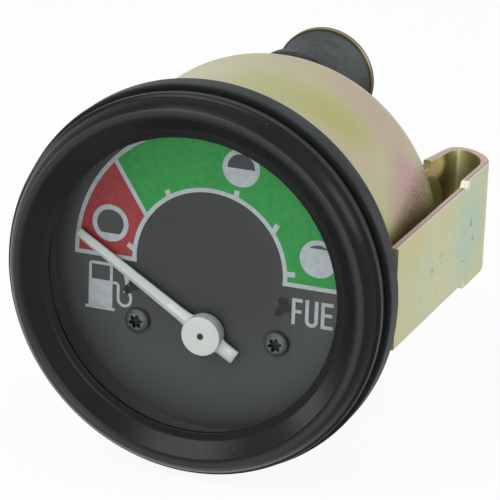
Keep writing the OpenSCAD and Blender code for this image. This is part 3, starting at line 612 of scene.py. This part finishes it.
SCREW_AT, SCREW_Z, HEAD_R, HEAD_H, SHANK_R, SHANK_END = 11.4, -9.6, 2.0, 1.2, 1.0, 8.2
LOBES, LOBE_MIDDLE, LOBE_SWING, LOBE_TURN, LOBE_STEP = 6, 0.93, 0.27, 12, 5
head_top = dial_y - HEAD_H


def recess_shade_and_gleam(place, colour):
    """Paints shade on the walls of the recess and a highlight on its mouth, by their depth below the top of the head
    """
    depth = part_of(place, 1) - head_top * MM
    gap = from_spot(place, (-SCREW_AT, head_top + 0.6, SCREW_Z))
    gap = gap.maths("MINIMUM", gap, from_spot(place, (SCREW_AT, head_top + 0.6, SCREW_Z)))
    near = between(gap, 1.45 * MM, 1.38 * MM)
    # The mouth of the recess is painted lighter, as its highlight
    colour = mixed(near * between(depth, 0.02 * MM, 0.05 * MM) * 0.3, colour, tint(150, 152, 152))
    # The walls of the recess are painted darker, as the shade inside it
    return mixed(near * between(depth, 0.14 * MM, 0.22 * MM), colour, tint(40, 42, 42))


black_screw = plain_metal("black_screw", tint(88, 90, 90), tint(68, 70, 70), 0.5, 0.40, 6.0, recess_shade_and_gleam)
screw_outline = eased([(0, head_top, 0), (1.2, head_top + 0.04, 0.3), (HEAD_R, head_top + 0.36, 0.35),
                       (HEAD_R, dial_y, 0.08), (SHANK_R, dial_y, 0), (SHANK_R, SHANK_END - 0.4, 0),
                       (SHANK_R - 0.35, SHANK_END, 0), (0, SHANK_END, 0)])
screw_shape = revolve(screw_outline, -SCREW_AT, SCREW_Z, 96)
second = bpy.data.meshes.new("second_screw")
revolve(screw_outline, SCREW_AT, SCREW_Z, 96).to_mesh(second)
screw_shape.from_mesh(second)
screws = link_piece("pan_head_screws", screw_shape, black_screw, "case")
recesses = []
for x in (-SCREW_AT, SCREW_AT):
    rings = []
    for depth, shrink in ((head_top - 0.5, 1.0), (head_top + 0.1, 1.0), (head_top + 0.75, 0.86)):
        rings.append([])
        for turn in range(0, 360, LOBE_STEP):
            radius = (LOBE_MIDDLE + LOBE_SWING * math.cos(math.radians(LOBES * turn))) * shrink
            px, pz = polar((x, SCREW_Z), radius, turn + LOBE_TURN)
            rings[-1].append(Vector((px, depth, pz)) * MM)
    recesses.append(loft(rings))
carve(screws, recesses, "DIFFERENCE")
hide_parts("dial_screws")

# Pointer: a cool white moulding, a round boss with a groove, a ridged hand and a short tail. It is pressed on
# the end of the steel spindle, which turns it with the rotor.
PIVOT, POINTER_REST = (0, -9.5), 148.2
BOSS_R, BOSS_FRONT, BOSS_REAR, BORE_R = 3.15, -1.75, 0.4, 0.52
HAND_REAR, HAND_H, HAND_START, TIP_AT, TIP_SLOPE, TAIL_AT = 0.1, 0.9, 1.6, 24.8, 1.2, 6.0
hand_out = Vector((math.cos(math.radians(POINTER_REST)), 0, math.sin(math.radians(POINTER_REST))))
hand_side = Vector((-hand_out.z, 0, hand_out.x))


def hand_section(at, half, edge, ridge, flat):
    """Section of the hand: half its width, height of its edges and ridge, and half the ridge's flat"""
    corners = ((-half, 0), (-half, edge - 0.05), (-half + 0.05, edge), (-flat, ridge), (flat, ridge),
               (half - 0.05, edge), (half, edge - 0.05), (half, 0))
    root = Vector((PIVOT[0], HAND_REAR, PIVOT[1]))
    return [(root + hand_out * at + hand_side * s + Vector((0, -h, 0))) * MM for s, h in corners]


hand_sections = []
for i in range(41):
    at = HAND_START + (TIP_AT - HAND_START) * (i / 40)
    half = 1.10 - 0.40 * (at / TIP_AT) + 0.55 * math.exp(-max(at - 2.4, 0) / 0.55)
    drop = max(0.0, (at - (TIP_AT - TIP_SLOPE)) / TIP_SLOPE)
    ridge = HAND_H - drop * 0.45
    hand_sections.append(hand_section(at, half, 0.36 - 0.1 * drop, ridge, 0.08 + 0.25 * drop))
tail_sections = [hand_section(-1.6, 1.8, 0.45, HAND_H, 0.45), hand_section(-2.9, 1.35, 0.45, HAND_H, 0.45),
                 hand_section(-3.4, 1.15, 0.45, HAND_H, 0.45), hand_section(-5.0, 1.12, 0.45, HAND_H, 0.45),
                 hand_section(-5.7, 1.12, 0.42, 0.62, 0.50), hand_section(-TAIL_AT, 1.10, 0.25, 0.38, 0.55)]
pointer_plastic = moulded("pointer_plastic", tint(230, 234, 230), tint(222, 227, 222), 0.26, 8.0)
boss = eased([(BORE_R, BOSS_FRONT, 0.06), (BOSS_R, BOSS_FRONT, 0.26), (BOSS_R, -1.1, 0.1), (BOSS_R - 0.12, -1.0, 0.05),
              (BOSS_R, -0.88, 0.1), (BOSS_R, BOSS_REAR, 0.1), (BORE_R, BOSS_REAR, 0.0)])
pointer = link_piece("pointer_moulding", revolve(boss, *PIVOT, turns=96), pointer_plastic, "pointer")
carve(pointer, [loft(hand_sections), loft(tail_sections)], "UNION")
bore = [(0.0, BOSS_FRONT - 1), (BORE_R, BOSS_FRONT - 1), (BORE_R, BOSS_REAR + 1), (0.0, BOSS_REAR + 1)]
carve(pointer, [revolve(bore, *PIVOT, turns=48)], "DIFFERENCE")
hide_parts("pointer")
coat("spindle", plain_metal("spindle_steel", tint(74, 68, 60), tint(56, 50, 44), 0.8, 0.45, 9.0))


# Glass, seal and spacer: a flat clear disc, polished, laid in the bezel. A rubber seal and a dark grey spacer
# ring hold it off the dial. The bulb of the dial lamp is of the same clear glass.
def rubber(name, colour, shade, roughness=0.6, seed=0.0, front=None):
    """Moulded rubber: a dull skin with dust in its pores and soft flow marks, and painted shade on a face that looks
    forward
    """
    material, skin, place = new_finish(name)
    dust = noise(place, 1500, 3.0, seed)
    flow = noise(stretched(place, 1, 2.5, 1), 120, 2.0, seed + 1)
    speck = between(noise(place, 2600, 1.0, seed + 2), 0.74, 0.78)
    colour = mixed(between(dust * 0.3 + flow * 0.7, 0.35, 0.65), colour, shade)
    if front:
        # A face that looks forward is painted darker, as shade
        colour = mixed(between(part_of(place, 1, "Normal"), -0.45, -0.85), colour, front)
    lay_on(skin, {"Base Color": mixed(speck * 0.35, colour, tint(150, 152, 150)), "Specular IOR Level": 0.16,
                  "Roughness": roughness + 0.12 * flow, "Normal": relief(dust + flow, 0.03, 0.5)})
    return material


GLASS_IOR = 1.45
glass_finish, glass_skin, glass_place = new_finish("window_glass")
lay_on(glass_skin, {"Base Color": tint(20, 22, 22), "Metallic": 0.0, "IOR": GLASS_IOR,
                    "Roughness": 0.03 + 0.05 * noise(glass_place, 60)})
edge_gleam = glass_place.node("ShaderNodeFresnel", {}, {"IOR": GLASS_IOR})
clear = glass_place.node("ShaderNodeBsdfTransparent", {}, {"Color": (0.96, 0.97, 0.965, 1)})
pane = glass_place.node("ShaderNodeMixShader", {}, {0: edge_gleam * 0.5, 1: clear, 2: Shade(glass_skin.outputs[0])})
glass_finish.node_tree.links.new(pane.socket, glass_finish.node_tree.nodes["Material Output"].inputs["Surface"])
coat("glass", glass_finish)
coat("bulb_glass", glass_finish)
black_rubber = rubber("black_rubber", tint(28, 30, 32), tint(42, 44, 47))
coat("glass_seal", black_rubber)
coat("terminal_insulators", black_rubber)
coat("spacer_ring", matt_grey("spacer_grey", tint(92, 96, 94), tint(106, 109, 107)))

# Bezel: a ring spun from thin steel and lacquered black. A stepped edge, a rounded face and a ridge, then a cone
# down to the window. Its skirt is rolled over the flange of the case, and its crest is painted lighter as a highlight.
BEZEL_R, BEZEL_REAR, BAND_FRONT, SKIRT_R, WINDOW_R = 30.0, -4.5, -6.3, 27.85, 23.2
CREST_FROM, CREST_FULL = -8.45, -8.72


def lacquer(name, colour, shade):
    """Black lacquer: soft orange peel, dust, hairline scratches and a crest painted lighter as a highlight"""
    material, skin, place = new_finish(name)
    peel = noise(place, 700, 2.0)
    cloud = noise(place, 60, 2.0, 3.0)
    specks = between(noise(place, 1300, 1.0, 9.0), 0.80, 0.83)
    hair = between(noise(stretched(place, 0.25, 1, 1), 1200, 2.0, 4.0), 0.77, 0.80)
    colour = mixed(between(cloud, 0.35, 0.7), colour, shade)
    # The crest is painted lighter, as the highlight that runs along it
    crest = between(part_of(place, 1) + 0.2 * MM * (cloud - 0.5), CREST_FROM * MM, CREST_FULL * MM)
    colour = mixed(crest * 0.7, colour, tint(54, 56, 57))
    lay_on(skin, {"Base Color": mixed(specks * 0.5 + hair * 0.12, colour, tint(150, 150, 146)),
                  "Specular IOR Level": 0.14, "Roughness": 0.20 + 0.08 * cloud + 0.06 * peel,
                  "Normal": relief(peel + 0.5 * noise(place, 3000), 0.01, 0.5)})
    return material


black_lacquer = lacquer("black_lacquer", tint(12, 13, 13), tint(21, 22, 22))
bezel_face = [(SKIRT_R, BEZEL_REAR, 0.1), (BEZEL_R, BEZEL_REAR, 0.35), (BEZEL_R, BAND_FRONT, 0.25),
              (29.45, -6.62, 0.1), (29.40, -6.95, 0.12), (28.85, -7.95, 0.7), (28.02, -8.74, 0.16),
              (27.80, -8.80, 0.10), (26.72, -8.44, 0.10), (26.52, -8.28, 0.10), (24.35, -6.50, 0.25),
              (WINDOW_R, -6.40, 0.18)]
bezel_inside = [(WINDOW_R, -5.72, 0.1), (24.6, -5.72, 0.2), (26.6, -7.4, 0.4), (28.1, -7.8, 0.4), (29.2, -6.2, 0.3),
                (29.38, -5.72, 0.1), (29.38, -5.12, 0.05), (SKIRT_R, -5.08, 0.05)]
bezel = link_piece("bezel_ring", revolve(eased(bezel_face + bezel_inside), turns=240), black_lacquer,
                   "case")
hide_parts("bezel")

# Gasket: a black rubber ring with a narrower collar, slid over the case behind the bezel. It lies on the panel.
# Its outer edge is dusty, and its face, close behind the bezel, is painted darker as the shade that falls there.
GASKET_R, COLLAR_R, GASKET_BORE, GASKET_FRONT, COLLAR_FRONT = 30.7, 29.0, 27.75, -3.6, -4.48
# The last colour is painted shade on the face that lies close behind the bezel
gasket_rubber = rubber("gasket_rubber", tint(30, 32, 33), tint(54, 58, 60), 0.5, 5.0, tint(8, 11, 14))
gasket_outline = eased([(GASKET_BORE, 0, 0.1), (GASKET_R, 0, 0.45), (GASKET_R, GASKET_FRONT, 0.5),
                        (COLLAR_R, GASKET_FRONT - 0.02, 0.12), (COLLAR_R, COLLAR_FRONT, 0.25),
                        (GASKET_BORE, COLLAR_FRONT, 0.1)])
gasket = link_piece("gasket_ring", revolve(gasket_outline, turns=240), gasket_rubber, "case")
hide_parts("panel_gasket")

# Clamp: a stud riveted into the back, a strap bent from steel with two legs that press on the panel, washers
# and a knurled nut. All are zinc plated; the strap's sheared edges are pinkish and its bends are scuffed.
STRAP_T, LEG_LEAN, WEB_Y, FOOT_X, FOOT_Y = 1.4, 1.3, 38.1, 28.87, 2.12
LEG_HALF, BEND_HALF, WEB_HALF, STEP_Y, STEP_H, WALL_STEP_Y = 8.05, 9.0, 7.7, 34.2, 0.95, 42.5
LEG_FROM_X, STUD_HOLE_R, STRAP_EASE = 28, 2.75, 0.22
leg_tilt = math.tan(math.radians(LEG_LEAN))
LEG_STAINS_AND_SHADING = (((30, 24, 0), 34, 0.9, tint(196, 200, 160)), ((30, 35.5, 0.5), 11, 0.85, tint(174, 198, 178)),
              ((29.6, 13, -1), 8, 0.6, tint(188, 198, 166)), ((29.5, 9, 6.5), 8, 0.8, tint(196, 192, 134)),
              ((29.8, 24, 6), 6, 0.5, tint(198, 196, 140)), ((29.5, 7, -5), 6, 0.7, tint(198, 194, 140)),
              # The last patch on the next line and the three dark ones at (25.2, 46.4) are painted shade inside the
              # bend
              ((29.8, 24, -7), 5, 0.5, tint(198, 198, 148)), ((20.5, 46, 3), 6, 0.8, tint(130, 100, 48)),
              ((25.2, 46.4, 8), 5.2, 1.0, tint(76, 66, 14)), ((25.2, 46.4, 4), 5.2, 1.0, tint(96, 76, 26)),
              # The two pale gold patches at (21.8, 43) and (22.0, 45.2) are a painted highlight in that bend
              ((25.2, 46.4, 0), 5.2, 1.0, tint(96, 76, 26)), ((21.8, 43, 6.6), 2.6, 1.0, tint(252, 226, 154)),
              ((22.0, 45.2, 7.4), 2.4, 1.0, tint(252, 228, 160)),
              # The two near-white patches at (29.9, 34.7) are painted highlights at the step of the legs
              ((29.9, 34.7, 8.6), 1.5, 0.9, tint(232, 230, 212)), ((29.9, 34.7, -8.6), 1.5, 0.9, tint(226, 224, 206)))


def strap_touches(place, colour, height):
    """The strap's sheared edges are bare and pinkish; its bends are stretched outside into fine ribs, striped with
    painted highlight and shade
    """
    stretched_part = between(from_spot(place, (21.5, 41.5, 1)), 5.7 * MM, 5.2 * MM)
    outside = between(part_of(place, 0, "Normal") - part_of(place, 1, "Normal"), -0.1, 0.3)
    stretched_part = stretched_part * outside
    # The ribs' light and dark stripes are painted highlight and shade, over their real bump
    ribs = place.node("ShaderNodeTexWave", {"bands_direction": "DIAGONAL"},
                      {"Vector": place, "Scale": 900, "Distortion": 1.5}, 1)
    colour = mixed(stretched_part, colour, mixed(ribs, tint(196, 200, 128), tint(104, 104, 58)))
    scuffs = between(abs(noise(stretched(place, 1, 0.7, 1), 240, 2.0, 4.0) - 0.5), 0.022, 0.006)
    scuffs = scuffs * between(noise(place, 330, 1.0, 9.0), 0.50, 0.60)
    rubbed = between(from_spot(place, (30, 36, -1)), 6 * MM, 3 * MM)
    rubbed = rubbed.maths("MAXIMUM", rubbed, between(from_spot(place, (30, 20, -4)), 8 * MM, 3 * MM))
    colour = mixed(scuffs * rubbed * 0.6, colour, tint(104, 108, 92))
    across = abs(part_of(place, 0)) - leg_tilt * part_of(place, 1) - (FOOT_X - FOOT_Y * leg_tilt) * MM
    bare = mixed(between(across, 0.10 * MM, 0.30 * MM), tint(188, 164, 150), tint(204, 190, 178))
    bare = mixed(between(abs(across - 0.12 * MM), 0.15 * MM, 0.05 * MM) * 0.8, bare, tint(98, 80, 70))
    edge = between(abs(part_of(place, 2, "Normal")), 0.55, 0.85)
    return mixed(edge, colour, bare), height + 2.0 * stretched_part * ribs


bracket_zinc = zinc("bracket_zinc", 21.0, tint(188, 186, 128), tint(192, 194, 150), tint(190, 184, 150),
                    tint(182, 194, 160), LEG_STAINS_AND_SHADING, strap_touches)
small_zinc = zinc("small_zinc", 31.0, tint(178, 170, 112), tint(190, 184, 148), tint(184, 162, 140),
                  tint(176, 184, 156))
for node in ("clamp_stud", "flat_washer", "clamp_nut"):
    coat(node, small_zinc)


def leg_at(y):
    """A point of the leg's middle line"""
    return (FOOT_X + (y - FOOT_Y) * leg_tilt, y, 0)


def strap_section(x, y, nx, ny, half):
    """Section of the strap: a flat bar with its corners taken off"""
    t, ease = STRAP_T / 2, STRAP_EASE
    ring = [(t, half - ease), (t - ease * 0.3, half - ease * 0.3), (t - ease, half)]
    ring += [(-a, b) for a, b in reversed(ring)]
    ring += [(a, -b) for a, b in reversed(ring)]
    return [(x + nx * a, y + ny * a, b) for a, b in ring]


web_middle = WEB_Y + STRAP_T / 2
strap_line = eased([(0, web_middle, 0), (8, web_middle, 0), (20.2, web_middle, 2.2),
                    (20.94, WALL_STEP_Y - 0.05, 0), (20.97, WALL_STEP_Y + 0.05, 0), (22.6, 51.2, 1.9),
                    (25.2, 51.35, 1.2), (28.35, 49.0, 2.0), (29.86, 45.4, 2.0), leg_at(STEP_Y + STEP_H),
                    leg_at(STEP_Y), leg_at(26), leg_at(18), leg_at(10), leg_at(FOOT_Y)], 8)
sections = []
for i, (x, y) in enumerate(strap_line):
    ahead = strap_line[min(i + 1, len(strap_line) - 1)] - strap_line[max(i - 1, 0)]
    if i in (0, len(strap_line) - 1):
        ahead = Vector((1, 0)) if i == 0 else strap_line[-1] - strap_line[-2]
    outward = Vector((-ahead.y, ahead.x)).normalized()
    if x > LEG_FROM_X:
        half = BEND_HALF if y > STEP_Y + STEP_H - 0.01 else LEG_HALF
    else:
        half = BEND_HALF if y > WALL_STEP_Y else WEB_HALF
    sections.append(strap_section(x, y, outward.x, outward.y, half))
left_half = [[(-x, y, z) for x, y, z in section] for section in reversed(sections[1:])]
strap_rings = [[Vector(point) * MM for point in section] for section in left_half + sections]
bracket = link_piece("clamp_strap", loft(strap_rings), bracket_zinc, "bracket")
stud_hole = [(0, WEB_Y - 2), (STUD_HOLE_R, WEB_Y - 2), (STUD_HOLE_R, WEB_Y + 4), (0, WEB_Y + 4)]
carve(bracket, [revolve(stud_hole, turns=64)], "DIFFERENCE")
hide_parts("clamp_bracket")

# Lamp holder: a plated tube with a dished rim, in a spool-shaped rubber sleeve whose plug fills the hole in the
# case. An insulating disc in the rim carries the sprung contact and its flat terminal.
RIM_Y, SEAM_FROM, SEAM_FULL = 50.1, 0.62, 0.42
sleeve_rubber = rubber("sleeve_rubber", tint(54, 57, 58), tint(80, 84, 84), 0.6, 12.0)
coat("holder_sleeve", sleeve_rubber)


def rim_touches(place, colour, height):
    """A dark seam where the rim leaves the sleeve"""
    seam = between(part_of(place, 1), (RIM_Y + SEAM_FROM) * MM, (RIM_Y + SEAM_FULL) * MM)
    return mixed(seam, colour, tint(62, 54, 32)), height


# Its one patch, on the right of the rim, is a painted dark reflection
aged_plate = zinc("aged_plate", 41.0, tint(128, 122, 108), tint(150, 146, 134), tint(104, 88, 70), tint(120, 116, 96),
                  (((9.5, 51, 13.5), 9, 0.9, tint(88, 82, 64)),), rim_touches)
aged_plate.node_tree.nodes["Principled BSDF"].inputs["Specular Tint"].default_value = tint(120, 114, 92)
coat("holder_shell", aged_plate)
coat("contact_insulator", board_laminate)
